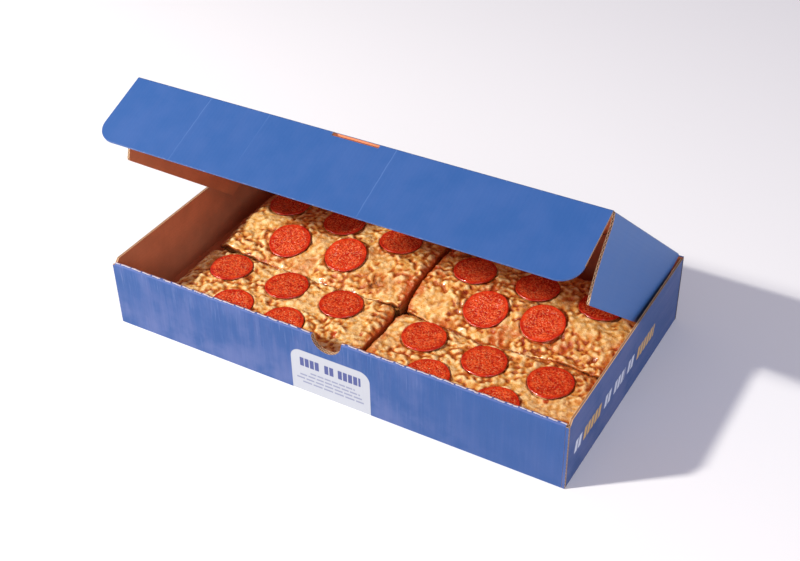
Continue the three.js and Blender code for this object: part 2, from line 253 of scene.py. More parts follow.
def bar(across, along, low, high, corner, soft=0.25):
    """Share of ink in a round-cornered rectangle between two corners, with a soft edge."""
    middle = [(a + b) / 2 for a, b in zip(low, high)]
    half = [(b - a) / 2 - corner for a, b in zip(low, high)]
    right = (abs(across - middle[0]) - half[0]).most(0.0)
    up = (abs(along - middle[1]) - half[1]).most(0.0)
    distance = (right * right + up * up) ** 0.5
    return distance.ramp(corner + soft, corner - soft)


def printed_blue(name, ink, marks=None, crease=None, wear=1.0, fades=None, lines=()):
    """Matt blue ink on corrugated board: flute streaks, pale violet scuffs that are partly scuffing and
    partly a painted sheen, pale wear along a fold and thin bent lines along the flutes."""
    s = Shader(name, roughness=0.5, specular_ior_level=0.4)
    across, along = s.flat()
    at = s.vector(across, along)
    mottle = s.noise(at, 34.0, 4.0, 0.6)
    grain = s.noise(at, 0.9, 2.0)
    streaks = s.noise(s.vector(across, along * 0.05), 1.7, 3.0, 0.65)
    wide_streaks = s.noise(s.vector(across, along * 0.08), 9.0, 3.0, 0.6)
    flutes = (across * (2 * math.pi / FLUTE)).sin()
    colour = s.mix(mottle.ramp(0.3, 0.75) * 0.3, ink, [c * 1.2 for c in ink])
    # This amount scales the scuffs, the paler clouds at the foot and the streaks, and with fades it grows
    # towards one end; the pale violet it brings is partly scuffing and partly a painted sheen.
    wear_and_sheen = wear * (across.ramp(*fades) * 0.75 + 0.25) if fades else wear
    scuffs_and_sheen = (mottle * 0.5 + wide_streaks * 0.5).ramp(0.42, 0.64) * wear_and_sheen
    # Pale violet patches, and paler clouds at the panel's foot: partly scuffing, partly a painted sheen.
    colour = s.mix(scuffs_and_sheen * 0.6, colour, [0.082, 0.115, 0.290])
    colour = s.mix(along.ramp(34, 4) * mottle.ramp(0.35, 0.6) * wear_and_sheen * 0.5, colour, [0.098, 0.132, 0.310])
    high = along.ramp(30, 52)
    colour = s.mix(streaks.ramp(0.56, 0.72) * (high * 0.3 + 0.18) * wear_and_sheen, colour, [0.12, 0.17, 0.36])
    colour = s.mix(streaks.ramp(0.46, 0.32) * (high * 0.3 + 0.18) * wear_and_sheen, colour, [0.016, 0.050, 0.21])
    for shape, paint in marks(across, along) if marks else ():
        colour = s.mix(shape, colour, paint)
    for place in lines:
        line = abs(across - place + (mottle - 0.5) * 3.0).ramp(0.55, 0.1) * wide_streaks.ramp(0.35, 0.6)
        colour = s.mix(line * 0.35, colour, [0.13, 0.24, 0.52])
    if crease is not None:
        worn = abs(along - crease).ramp(1.5, 0.2) * s.noise(at, 2.4, 3.0).ramp(0.5, 0.74)
        colour = s.mix(worn * 0.4, colour, [0.30, 0.38, 0.58])
    s.feed(base_color=colour, roughness=0.42 + mottle * 0.16)
    s.bump(flutes * 0.07 + streaks * 0.7 * wear + wide_streaks * 0.8 * wear + grain * 0.07, 0.17)
    return s.material


def kraft():
    """Bare brown liner, its flutes showing faintly through."""
    s = Shader("kraft", roughness=0.82, specular_ior_level=0.25)
    across, along = s.flat()
    at = s.vector(across, along)
    clouds = s.noise(at, 30.0, 4.0)
    fibres = s.noise(s.vector(across, along * 0.25), 0.8, 3.0, 0.7)
    flutes = (across * (2 * math.pi / FLUTE)).sin() * 0.5 + 0.5
    fade = clouds.ramp(0.3, 0.7) * 0.6
    colour = s.mix(clouds.ramp(0.25, 0.75), [c * 0.86 for c in KRAFT], [c * 1.12 for c in KRAFT])
    colour = s.mix(fibres.ramp(0.5, 0.85) * 0.35, colour, [0.26, 0.10, 0.045])
    colour = s.mix(flutes * fade * 0.09, colour, [0.22, 0.09, 0.045])
    s.feed(base_color=colour)
    s.bump(flutes * 0.22 * fade + fibres * 0.35 + clouds * 0.5, 0.12)
    return s.material


def raw_fluted():
    """Cut edge across the corrugations: two liners with a waving paper between them and painted shade in the
    flute hollows.
    """
    s = Shader("raw_fluted", roughness=0.9, specular_ior_level=0.15)
    across, deep = s.flat()
    wave = (across * (2 * math.pi / FLUTE)).sin() * 0.48 + BOARD / 2
    torn = s.noise(s.vector(across, deep), 0.8, 3.0) * 0.24 - 0.12
    medium = abs(deep - wave + torn).ramp(0.42, 0.2)
    liners = abs(deep - BOARD / 2).ramp(BOARD / 2 - 0.42, BOARD / 2 - 0.22)
    paper = medium.most(liners)
    # Between the papers the flute hollows are painted dark: painted shade.
    colour = s.mix(paper, FLUTE_HOLLOW_SHADE, KRAFT_PALE)
    s.feed(base_color=colour)
    s.bump(paper, 0.4)
    return s.material


def raw_plain():
    """Cut edge along the corrugations: two pale liners and the brown between them."""
    s = Shader("raw_plain", roughness=0.9, specular_ior_level=0.15)
    along, deep = s.flat()
    torn = s.noise(s.vector(along * 0.3, deep), 0.6, 3.0)
    liners = (abs(deep - BOARD / 2) + torn * 0.2).ramp(0.45, 0.75)
    colour = s.mix(liners, [0.30, 0.16, 0.085], KRAFT_PALE)
    s.feed(base_color=colour)
    s.bump(liners + torn, 0.25)
    return s.material


def blocks(along, start, pitch, share):
    """Cuts a bar into blocks: ink over a share of every pitch from start."""
    return ((along - start) / pitch).math("FRACT").ramp(share + 0.03, share - 0.03)


def front_wall_marks(across, along):
    """A pale field with a dark heading of blocks and fine lines under it."""
    yield bar(across, along, (-28.2, -20.0), (38.6, 38.0), 8.5), PALE_PRINT
    for start, end in [(-20.5, -3.5), (0.5, 8.5), (12.0, 31.0)]:
        ink = bar(across, along, (start, 23.6), (end, 31.4), 0.6) * blocks(across, start, 4.3, 0.8)
        yield ink * 0.92, DARK_PRINT
    for row, (start, end) in enumerate([(-12, 26), (-21, 30), (-24, 32), (-19, 33)]):
        middle = 18.6 - 3.3 * row
        ink = bar(across, along, (start, middle - 0.7), (end, middle + 0.7), 0.4, 0.3)
        yield ink * blocks(across, start, 6.1 + row, 0.86) * 0.5, DARK_PRINT


def end_wall_marks(across, along):
    """A row of blocks, white and gold, along the end wall. Here across is the height."""
    slant = along - across * 0.25 + 6.5
    row = [(-92, -81, 0), (-77, -47, 1), (-41, -30, 0), (-24, -5, 0), (1, 13, 0), (19, 52, 1)]
    for start, end, golden in row:
        ink = bar(across, slant, (21.5, start), (31.5, end), 0.7) * blocks(slant, start, 6.1, 0.74)
        yield ink * 0.9, GOLD_PRINT if golden else WHITE_PRINT


def rolled_top():
    """The perforated fold along the front wall: a ragged pale line of torn liner with short breaks."""
    s = Shader("rolled_top", roughness=0.6, specular_ior_level=0.3)
    across, over = s.flat()
    wander = s.noise(s.vector(across, over), 2.2, 3.0, 0.65) - 0.5
    rough = s.noise(s.vector(across, over), 9.0, 2.0) - 0.5
    beat = ((across + rough * 9.0) / 9.6).math("FRACT")
    dash = abs(beat - 0.5).ramp(0.44, 0.38)
    band = abs(over + 0.1 + wander * 1.4).ramp(0.8, 0.4) * (wander + rough + 0.5).ramp(0.22, 0.36)
    colour = s.mix(over.ramp(0.5, 1.3), [0.060, 0.105, 0.30], KRAFT)
    colour = s.mix(dash * band * 0.9, colour, [0.66, 0.60, 0.64])
    s.feed(base_color=colour)
    s.bump(dash * band * 0.6 + wander * 0.8, 0.35)
    return s.material


# ------------------------------------------------------------------ materials of the food
def cheese_material():
    """Melted curds: cream on top, oily orange between, near-black red in the deepest hollows that is partly
    painted shade, browned here and there, and painted shade at the cut between slices.
    """
    s = Shader(
        "cheese", roughness=0.3, specular_ior_level=0.5, subsurface_weight=0.05,
        subsurface_scale=0.0015, coat_weight=0.5, coat_roughness=0.13,
    )
    s.surface.inputs["Subsurface Radius"].default_value = (1.0, 0.5, 0.2)
    at = s.place()
    curd, brown, warm = s.field("curd"), s.field("brown"), s.field("warm")
    fine = s.noise(at, 2.2, 4.0, 0.65)
    tiny = s.noise(at, 0.8, 2.0)
    height = curd + (fine - 0.5) * 0.55
    # Red oil in the hollows between curds, near-black where this mask is high: partly oil and sauce, partly
    # painted shade in the hollows.
    gaps = (s.noise(at, 13.0, 2.0) * 0.6 + brown * 0.5).ramp(0.42, 0.7)
    deep = s.mix(gaps, [0.36, 0.085, 0.012], [0.20, 0.010, 0.002])
    colour = s.mix(height.ramp(0.0, 0.32), deep, [0.56, 0.180, 0.027])
    colour = s.mix(height.ramp(0.2, 0.55), colour, [0.68, 0.355, 0.085])
    colour = s.mix(height.ramp(0.5, 0.95), colour, [0.84, 0.62, 0.30])
    colour = s.mix(warm * (1.0 - height.ramp(0.6, 1.1) * 0.55), colour, [0.44, 0.060, 0.009])
    # Browned patches and near-black spots; where the stored brown is raised at the cut between slices they
    # become painted shade.
    toast_and_seam_shade = (brown + (fine - 0.5) * 0.9).ramp(0.5, 0.95)
    colour = s.mix(toast_and_seam_shade * 0.65, colour, [0.42, 0.130, 0.020])
    burnt_and_seam_shade = (brown + (tiny - 0.5) * 1.2).ramp(0.98, 1.2)
    colour = s.mix(burnt_and_seam_shade * 0.85, colour, [0.075, 0.018, 0.008])
    s.feed(base_color=colour, roughness=0.15 + fine * 0.3)
    s.bump(fine * 1.0 + tiny * 0.7, 0.6)
    return s.material


def pepperoni_material():
    """Red sausage with pale flecks, partly fat and partly painted glints, a darker rim and a film of oil."""
    s = Shader(
        "pepperoni", roughness=0.3, specular_ior_level=0.6, subsurface_weight=0.06,
        subsurface_scale=0.0015, coat_weight=0.7, coat_roughness=0.12,
    )
    s.surface.inputs["Subsurface Radius"].default_value = (1.0, 0.25, 0.12)
    at = s.place()
    radial = s.field("radial")
    meat = s.noise(at, 7.0, 4.0, 0.6)
    fine = s.noise(at, 1.5, 2.0, 0.6)
    flecks = s.spots(at, 1.3).ramp(0.36, 0.2) * s.noise(at, 1.8, 2.0).ramp(0.46, 0.56)
    middle = radial.ramp(0.94, 0.75)
    colour = s.mix(meat.ramp(0.35, 0.65), [0.42, 0.009, 0.004], [0.64, 0.046, 0.009])
    colour = s.mix(middle * fine.ramp(0.46, 0.62) * 0.6, colour, [0.84, 0.18, 0.045])
    colour = s.mix(middle * fine.ramp(0.44, 0.32) * 0.5, colour, [0.32, 0.006, 0.004])
    # Pale orange flecks in the middle: partly fat, partly painted glints.
    colour = s.mix(flecks * middle * 0.75, colour, [0.98, 0.52, 0.27])
    colour = s.mix(radial.ramp(0.93, 0.985) * 0.55, colour, [0.42, 0.008, 0.004])
    s.feed(base_color=colour, roughness=0.12 + fine * 0.3)
    s.bump((meat * 0.9 + fine * 1.2) * (0.35 + 0.65 * middle), 0.8)
    return s.material


def sauce_material():
    """Cooked tomato, orange-red and wet."""
    s = Shader("sauce", roughness=0.35, specular_ior_level=0.5, coat_weight=0.3, coat_roughness=0.2)
    at = s.place()
    pulp = s.noise(at, 3.0, 4.0)
    s.feed(base_color=s.mix(pulp.ramp(0.3, 0.7), [0.42, 0.045, 0.012], [0.62, 0.13, 0.025]))
    s.bump(pulp, 0.6)
    return s.material


def dough_material():
    """Baked base: pale crumb at the cut, golden-brown outside, with open pores."""
    s = Shader("dough", roughness=0.8, specular_ior_level=0.25, subsurface_weight=0.1, subsurface_scale=0.002)
    at = s.place()
    low = s.field("low")
    bake = s.noise(at, 14.0, 4.0)
    pores = s.spots(at, 2.6).ramp(0.1, 0.45)
    colour = s.mix(bake.ramp(0.3, 0.75), [0.52, 0.19, 0.045], [0.40, 0.10, 0.020])
    colour = s.mix(low * 0.8, colour, [0.34, 0.115, 0.030])
    colour = s.mix((1.0 - pores) * 0.45, colour, [0.38, 0.16, 0.05])
    s.feed(base_color=colour)
    s.bump(pores + bake, 0.7)
    return s.material


# ------------------------------------------------------------------ meshes
def mesh_piece(name, points, faces, materials, slots=None, uvs=None, fields=None, smooth=True):
    """An object at the origin. faces is a list of index lists; uvs holds one (u, v) in mm per corner."""
    mesh = bpy.data.meshes.new(name)
    points = np.asarray(points, dtype=np.float64)
    sizes = np.array([len(f) for f in faces])
    corners = np.fromiter((i for f in faces for i in f), dtype=np.int32, count=int(sizes.sum()))
    mesh.vertices.add(len(points))
    mesh.vertices.foreach_set("co", (points * MM).astype(np.float32).ravel())
    mesh.loops.add(len(corners))
    mesh.loops.foreach_set("vertex_index", corners)
    mesh.polygons.add(len(sizes))
    mesh.polygons.foreach_set("loop_start", np.concatenate([[0], np.cumsum(sizes)[:-1]]).astype(np.int32))
    mesh.update(calc_edges=True)
    for material in materials:
        mesh.materials.append(material)
    if slots is not None:
        mesh.polygons.foreach_set("material_index", np.asarray(slots, dtype=np.int32))
    if uvs is not None:
        layer = mesh.uv_layers.new(name="UVMap")
        layer.data.foreach_set("uv", (np.asarray(uvs, dtype=np.float64) * MM).astype(np.float32).ravel())
    for key, values in (fields or {}).items():
        layer = mesh.attributes.new(key, "FLOAT", "POINT")
        layer.data.foreach_set("value", np.asarray(values, dtype=np.float32))
    mesh.polygons.foreach_set("use_smooth", np.full(len(sizes), smooth))
    mesh.validate()
    piece = bpy.data.objects.new(name, mesh)
    bpy.context.scene.collection.objects.link(piece)
    return piece


def cells(grid):
    """The four corners of every cell of a grid, going round it."""
    return np.stack([grid[:-1, :-1], grid[:-1, 1:], grid[1:, 1:], grid[1:, :-1]], axis=2)


class Shell:
    """Faces gathered for one piece: each patch has its own points, slot and uvs."""

    def __init__(self):
        self.points, self.faces, self.slots, self.uvs, self.count = [], [], [], [], 0

    def face(self, corners, slot, uvs):
        """One flat face from its corner points."""
        self.points.append(np.asarray(corners, dtype=float))
        self.faces.append(list(range(self.count, self.count + len(corners))))
        self.slots.append(slot)
        self.uvs.extend(uvs)
        self.count += len(corners)

    def grid(self, rows, slot, uvs):
        """A patch of quads; rows and uvs are arrays of shape (rows, columns, 3 or 2)."""
        rows, uvs = np.asarray(rows, dtype=float), np.asarray(uvs, dtype=float)
        high, wide = rows.shape[:2]
        index = self.count + np.arange(high * wide).reshape(high, wide)
        self.points.append(rows.reshape(-1, 3))
        self.faces.extend(cells(index).reshape(-1, 4).tolist())
        self.slots.extend([slot] * ((high - 1) * (wide - 1)))
        self.uvs.extend(cells(uvs).reshape(-1, 2).tolist())
        self.count += high * wide

    def piece(self, name, materials, place=None):
        """The finished object. place maps the shell's own points to the part's frame."""
        points = np.concatenate(self.points)
        if place is not None:
            points = place(points)
        made = mesh_piece(name, points, self.faces, materials, self.slots, self.uvs)
        weld(made)
        return made


def weld(piece):
    """Joins the corners that lie on each other, and keeps sharp edges sharp."""
    work = bmesh.new()
    work.from_mesh(piece.data)
    bmesh.ops.remove_doubles(work, verts=work.verts, dist=2e-6)
    bmesh.ops.recalc_face_normals(work, faces=work.faces)
    for edge in work.edges:
        edge.smooth = edge.calc_face_angle(math.pi) < math.radians(35)
    work.to_mesh(piece.data)
    work.free()


def turned(angle, y, z):
    """Turns y and z about the X axis."""
    return y * math.cos(angle) - z * math.sin(angle), y * math.sin(angle) + z * math.cos(angle)


def from_lid(points):
    """From the lid's own frame, hinge line on X and lid towards -Y, to the part's."""
    points = np.array(points, dtype=float)
    y, z = turned(-LID_OPEN, points[:, 1], points[:, 2])
    return np.stack([points[:, 0], y + HINGE[1], z + HINGE[2]], axis=-1)


def arc(centre, radius, start, end, steps):
    """Points of a circular arc, angles in degrees."""
    angles = np.radians(np.linspace(start, end, steps + 1))
    return [(centre[0] + radius * math.cos(a), centre[1] + radius * math.sin(a)) for a in angles]


def curve(start, pull, end, steps):
    """Points of a quadratic curve from start to end, drawn towards pull."""
    t = np.linspace(0, 1, steps + 1)[:, None]
    points = (1 - t) ** 2 * np.array(start) + 2 * t * (1 - t) * np.array(pull) + t**2 * np.array(end)
    return [tuple(p) for p in points]


def panel(shell, outline, thickness, edge_slots, turn_uv=False):
    """A flat board: outline counter-clockwise in its own X-Y plane, inner face at z 0, printed face
    at z = thickness. Slots: 0 printed, 1 kraft, 2 cut across the flutes, 3 cut along them; edge_slots gives
    each side's. turn_uv: flutes along X."""
    outline = np.asarray(outline, dtype=float)
    flip = (lambda p: (p[1], p[0])) if turn_uv else (lambda p: (p[0], p[1]))
    upper = [(x, y, thickness) for x, y in outline]
    lower = [(x, y, 0.0) for x, y in outline[::-1]]
    shell.face(upper, 0, [flip(p) for p in upper])
    shell.face(lower, 1, [flip(p) for p in lower])
    run = 0.0
    for k, (a, b) in enumerate(zip(outline, np.roll(outline, -1, axis=0))):
        length = float(np.hypot(*(b - a)))
        corners = [(*a, 0.0), (*b, 0.0), (*b, thickness), (*a, thickness)]
        uvs = [(run, 0.0), (run + length, 0.0), (run + length, thickness), (run, thickness)]
        shell.face(corners, edge_slots[k % len(edge_slots)], uvs)
        run += length


# ------------------------------------------------------------------ the tray
def box_panel(name, low, high, printed_side, materials, flutes_along):
    """A straight-sided board between two corners. printed_side is +-1 times the axis number (1, 2, 3)
    of the face that carries the print; the face opposite is kraft and the rest are raw edges."""
    low, high = np.array(low, dtype=float), np.array(high, dtype=float)
    thin = abs(printed_side) - 1
    others = [k for k in range(3) if k != thin]
    across = [k for k in others if k != flutes_along][0]
    shell = Shell()
    for axis in range(3):
        u, v = [k for k in range(3) if k != axis]
        for side in (0, 1):
            corners = []
            for a, b in ((0, 0), (1, 0), (1, 1), (0, 1)):
                point = low.copy()
                point[axis] = (low, high)[side][axis]
                point[u] = (low, high)[a][u]
                point[v] = (low, high)[b][v]
                corners.append(point)
            if axis == thin:
                slot = 0 if (side == 1) == (printed_side > 0) else 1
                uvs = [(c[across], c[flutes_along]) for c in corners]
            else:
                slot = 2 if axis == flutes_along else 3
                run = [k for k in others if k != axis][0]
                uvs = [(c[run], c[thin] - low[thin]) for c in corners]
            shell.face(corners, slot, uvs)
    return shell.piece(name, materials)


def front_wall(materials):
    """The doubled front wall: a loop up the outer face, over the roll and down the inner face, carried
    along X. In the thumb notch the loop is cut off flat on the circle z = centre - root(r^2 - x^2)."""
    front = -WIDTH / 2
    roll = FRONT_THICKNESS / 2
    end = LENGTH / 2 - BOARD - CORNER_SLIT
    plain = np.arange(-end, end + 0.1, 1.2)
    notch_z = FRONT_WALL - NOTCH_DEPTH + NOTCH_RADIUS
    round_x = NOTCH_RADIUS * np.sin(np.linspace(-math.pi / 2, math.pi / 2, 33))
    stations = [(x, FRONT_WALL, True) for x in plain[plain < NOTCH_X - NOTCH_RADIUS - 0.3]]
    stations.append((NOTCH_X - NOTCH_RADIUS, FRONT_WALL, True))
    for x in round_x:
        stations.append((NOTCH_X + x, notch_z - math.sqrt(max(NOTCH_RADIUS**2 - x**2, 0.0)), False))
    stations.append((NOTCH_X + NOTCH_RADIUS, FRONT_WALL, True))
    stations += [(x, FRONT_WALL, True) for x in plain[plain > NOTCH_X + NOTCH_RADIUS + 0.3]]
    xs = np.array([s[0] for s in stations])
    wave = 0.3 * cloud(xs, xs * 0, 6.0, 71, 3) + 0.22 * np.sin(xs * 2 * math.pi / 9.6)

    def loop(x, top, rolled, sag):
        """The wall's outline at x: up outside, over the top and down inside. sag shifts the roll's height."""
        outer = [(front, z) for z in np.linspace(0, top - roll if rolled else top, 8)]
        inner = [(front + FRONT_THICKNESS, z) for z in np.linspace(top - roll if rolled else top, 0, 8)]
        if rolled:
            over = arc((front + roll, top - roll), roll, 180, 0, 12)[1:-1]
            over = [(y, z + (sag - 0.5) * (z - top + roll) / roll) for y, z in over]
        else:
            over = [(front + FRONT_THICKNESS * t, top) for t in np.linspace(0, 1, 13)[1:-1]]
        return np.array([(x, y, z) for y, z in [*outer, *over, *inner]])

    rows = np.array([loop(*station, sag) for station, sag in zip(stations, wave)])
    outer, over, inner = rows[:, :8], rows[:, 7:20], rows[:, 19:]
    shell = Shell()
    shell.grid(outer[::-1], 0, outer[::-1][..., [0, 2]])
    shell.grid(inner[::-1], 1, inner[::-1][..., [0, 2]])
    around = np.linspace(-roll * math.pi / 2, roll * math.pi / 2, 13)
    for flag, slot in ((True, 4), (False, 2)):
        kept = np.array([s[2] == flag for s in stations])
        starts = np.flatnonzero(kept & ~np.concatenate([[False], kept[:-1]]))
        ends = np.flatnonzero(kept & ~np.concatenate([kept[1:], [False]]))
        for first, last in zip(starts, ends):
            part = over[first : last + 1][::-1]
            if flag:
                uvs = np.stack(np.broadcast_arrays(part[..., 0], around), axis=-1)
            else:
                run = np.cumsum(np.concatenate([[0], np.hypot(*np.diff(part[:, 0, [0, 2]], axis=0).T)]))
                ply = np.mod(part[..., 1] - front, FRONT_THICKNESS / 2 + 1e-6)
                uvs = np.stack(np.broadcast_arrays(run[:, None], ply), axis=-1)
            shell.grid(part, slot, uvs)
    # the two upright cuts at the notch's sides, and the wall's raw ends and foot
    for k, (a, b) in enumerate(zip(stations, stations[1:])):
        if a[2] != b[2]:
            cut = over[k : k + 2][::-1]
            shell.grid(cut, 2, np.stack([cut[..., 2], cut[..., 1] - front], axis=-1))
    for side, step in ((0, 1), (-1, -1)):
        ring = rows[side][::step]
        shell.face(ring, 3, [(p[2], min(p[1] - front, BOARD)) for p in ring])
    for a, b in zip(rows[:, [0, -1]][:-1], rows[:, [0, -1]][1:]):
        shell.face([a[1], b[1], b[0], a[0]], 0, [(0, 0)] * 4)
    return shell.piece("front_wall", materials)


def cloud(x, y, size, seed, octaves=4):
    """Smooth random field about -1 to 1: octaves of blended lattice noise, the first size mm across."""
    total, weight = 0.0, 0.0
    for k in range(octaves):
        table = np.random.default_rng(seed * 31 + k).uniform(-1, 1, (128, 128))
        u, v = x / size * 2**k + 40.3, y / size * 2**k + 17.7
        i, j = np.floor(u).astype(int), np.floor(v).astype(int)
        s, t = u - i, v - j
        s, t = s * s * s * (s * (s * 6 - 15) + 10), t * t * t * (t * (t * 6 - 15) + 10)
        near = table[i % 128, j % 128] * (1 - s) + table[(i + 1) % 128, j % 128] * s
        far = table[i % 128, (j + 1) % 128] * (1 - s) + table[(i + 1) % 128, (j + 1) % 128] * s
        total = total + (near * (1 - t) + far * t) * 0.55**k
        weight += 0.55**k
    return total / weight * 1.7


def tray_pieces():
    """Floor and walls of the tray."""
    edge = [raw_fluted(), raw_plain()]
    plain = printed_blue("blue_board", WALL_BLUE_PAINTED_SHADE)
    inside = kraft()
    half_length, half_width = LENGTH / 2, WIDTH / 2
    low = (-half_length + FLOOR_INSET, -half_width + FLOOR_INSET, 0)
    high = (half_length - FLOOR_INSET, half_width - FLOOR_INSET, BOARD)
    pieces = [box_panel("tray_floor", low, high, -3, [plain, inside, *edge], 1)]
    low = (-half_length, half_width - BOARD, 0)
    high = (half_length, half_width, HINGE[2] - BOARD / 2 - RUB)
    pieces.append(box_panel("back_wall", low, high, 2, [plain, inside, plain, edge[1]], 2))
    start, rear = -half_width + BOARD + CORNER_SLIT, half_width - 0.05
    for side in (-1, 1):
        outline = [(start, 0), (rear, 0), (rear, SIDE_WALL)]
        outline += [(start + SIDE_CHAMFER, SIDE_WALL), (start, SIDE_WALL - SIDE_CHAMFER)]
        shell = Shell()
        panel(shell, outline, BOARD, [0, 3, 3, 3, 2], turn_uv=True)
        inner_x = half_length - BOARD

        def place(points, side=side, inner_x=inner_x):
            return np.stack([side * (inner_x + points[:, 2]), points[:, 0], points[:, 1]], axis=-1)

        print_ = printed_blue("end_print", WALL_BLUE_PAINTED_SHADE, end_wall_marks) if side > 0 else plain
        pieces.append(shell.piece("right_wall" if side > 0 else "left_wall", [print_, inside, *edge], place))
    # On the front wall the scuffs and the painted sheen grow weaker towards its right end.
    front_print = printed_blue("front_print", WALL_BLUE_PAINTED_SHADE, front_wall_marks, fades=(140, 30))
    pieces.append(front_wall([front_print, inside, *edge, rolled_top()]))
    for side in (-1, 1):
        near, far = sorted((side * (half_length - BOARD - CORNER_SLIT), side * half_length))
        low = (near, -half_width, 0)
        high = (far, -half_width + BOARD, FRONT_WALL - FRONT_THICKNESS / 2)
        name = "front_ply_right" if side > 0 else "front_ply_left"
        pieces.append(box_panel(name, low, high, -2, [plain, inside, edge[0], edge[0]], 2))
    return pieces


# ------------------------------------------------------------------ the lid and its flaps
def lid_piece(materials):
    """The lid's sheet as a stack of rectangles: at each height w the free sides stand back from their
    fold lines by root(R^2 - w^2), and the rear side bulges by the half-round of the hinge."""
    hollow = BOARD + RUB
    heights = np.unique(np.concatenate([BOARD * 0.5 * (1 - np.cos(np.linspace(0, math.pi, 15))), [0, BOARD]]))
    rings = []
    for w in heights:
        back_off = math.sqrt(hollow**2 - w**2)
        bulge = math.sqrt(max((BOARD / 2) ** 2 - (w - BOARD / 2) ** 2, 0))
        left, right = LID_LEFT + BOARD + back_off, LID_RIGHT - BOARD - back_off
        near, far = -LID_REACH + back_off, bulge
        rings.append([(left, near), (right, near), (right, far), (left, far)])
    shell = Shell()
    rings = np.array(rings)
    for k in range(len(heights) - 1):
        for n in range(4):
            m = (n + 1) % 4
            a, b = rings[k, n], rings[k, m]
            c, d = rings[k + 1, m], rings[k + 1, n]
            z0, z1 = heights[k] - BOARD / 2, heights[k + 1] - BOARD / 2
            uv = [(a[0], a[1]), (b[0], b[1]), (c[0], c[1]), (d[0], d[1])]
            outer_part = n == 2 or k > len(heights) * 0.6
            shell.face([(*a, z0), (*b, z0), (*c, z1), (*d, z1)], 0 if outer_part else 1, uv)
    top, bottom = rings[-1], rings[0][::-1]
    shell.face([(*p, BOARD / 2) for p in top], 0, [tuple(p) for p in top])
    shell.face([(*p, -BOARD / 2) for p in bottom], 1, [tuple(p) for p in bottom])
    return shell.piece("lid_sheet", materials, from_lid)


def knuckle(shell, start, end, turn_uv=False):
    """The quarter round of a fold, tangent to the printed face, along X from start to end."""
    angles = np.radians(np.linspace(-8, 90, 13))
    xs = np.linspace(start, end, 3)
    rows = np.array([[(x, BOARD * math.cos(a), BOARD * math.sin(a)) for a in angles] for x in xs])
    arc_uv = BOARD * (math.pi / 2 - angles)
    uvs = np.stack(np.broadcast_arrays(rows[..., 0], arc_uv), axis=-1)
    if turn_uv:
        uvs = uvs[..., ::-1]
    shell.grid(rows, 0, uvs)
    for x, flip in ((start, 1), (end, -1)):
        ring = [(x, BOARD * math.cos(a), BOARD * math.sin(a)) for a in angles] + [(x, 0.0, 0.0)]
        shell.face(ring[::-flip], 2, [(p[1], p[2]) for p in ring[::-flip]])
    tip = (BOARD * math.cos(angles[0]), BOARD * math.sin(angles[0]))
    inner = np.array([[(x, 0.0, 0.0), (x, *tip)] for x in xs])
    shell.grid(inner, 1, inner[..., :2])
    cut = np.array([[(x, 0.0, BOARD), (x, 0.0, 0.0)] for x in xs])
    shell.grid(cut, 1, cut[..., [0, 2]])


def front_flap(materials):
    """Front flap in its own frame: fold line on X, board towards -Y, a slot let into the fold."""
    left, right = LID_LEFT + FLAP_INSET, LID_RIGHT - FLAP_INSET
    slot_low, slot_high = SLOT_X - SLOT_LENGTH / 2, SLOT_X + SLOT_LENGTH / 2
    r, foot = FLAP_CORNER, -FRONT_FLAP
    steps = 14  # of each rounded corner
    outline = [(left, 0), *arc((left + r, foot + r), r, 180, 270, steps)]
    outline += arc((right - r, foot + r), r, 270, 360, steps)
    outline += [(right, 0), (slot_high, 0), (slot_high, -SLOT_HEIGHT)]
    outline += [(slot_low, -SLOT_HEIGHT), (slot_low, 0)]
    shell = Shell()
    panel(shell, outline, BOARD, [3] + [0] * (2 * steps + 1) + [3, 3, 3, 3, 2, 3])
    flap = shell.piece("front_flap_sheet", materials, from_front_flap)
    pieces = [flap]
    for name, a, b in (("front_fold_left", left, slot_low), ("front_fold_right", slot_high, right)):
        fold = Shell()
        knuckle(fold, a, b)
        pieces.append(fold.piece(name, materials, from_front_flap))
    return pieces


def from_front_flap(points):
    """From the front flap's own frame to the part's."""
    points = np.array(points, dtype=float)
    y, z = turned(FRONT_FOLD, points[:, 1], points[:, 2])
    return from_lid(np.stack([points[:, 0], y - LID_REACH, z - BOARD / 2], axis=-1))


def side_flap(side, fold, materials):
    """Side flap in its own frame: X along the lid from the hinge line, board towards -Y."""
    foot, r = -SIDE_FLAP, 3.0
    lower = curve((186, foot + r), (193.3, foot * 0.7), (194.8, -12), 8)
    upper = curve((194.8, -12), (194.8, -4), (198.4, 0), 7)
    outline = [(3.0, 0.0), (34.0, foot), *arc((186 - r, foot + r), r, -90, 0, 6)[:-1], *lower[:-1], *upper]
    shell = Shell()
    panel(shell, outline, BOARD, [2, 3] + [2] * (len(outline) - 3) + [3], turn_uv=True)

    def place(points):
        x = side * np.sin(fold) * points[:, 2] - side * np.cos(fold) * points[:, 1]
        z = np.cos(fold) * points[:, 2] + np.sin(fold) * points[:, 1]
        axis = LID_LEFT + BOARD if side < 0 else LID_RIGHT - BOARD
        return from_lid(np.stack([axis + x, -points[:, 0], z - BOARD / 2], axis=-1))

    tag = "left" if side < 0 else "right"
    round_ = Shell()
    knuckle(round_, 3.0, 198.4, turn_uv=True)
    return [shell.piece(tag + "_flap_sheet", materials, place), round_.piece(tag + "_fold", materials, place)]


# ------------------------------------------------------------------ the pizza
def ease(t):
    """Smooth step: 0 to 1 with level ends."""
    return t * t * (3 - 2 * t)


def slice_top(s, x, y):
    """Height of a slice's smooth top: it swells from the front rim, and one corner may stand up."""
    run = np.clip((y - s["y"][0]) / SWELL_RUN, 0, 1)
    left = np.clip((x - s["x"][0]) / 70, 0, 1)
    front = np.clip((y - s["y"][0]) / 40, 0, 1)
    drop = s["drop"] * (1 - np.clip((x - s["x"][0]) / 16, 0, 1)) ** 2
    lift = s["lift"] * (1 - ease(left)) * (1 - ease(front))
    return s["rim"] + (s["plateau"] - s["rim"]) * ease(run) + lift - drop


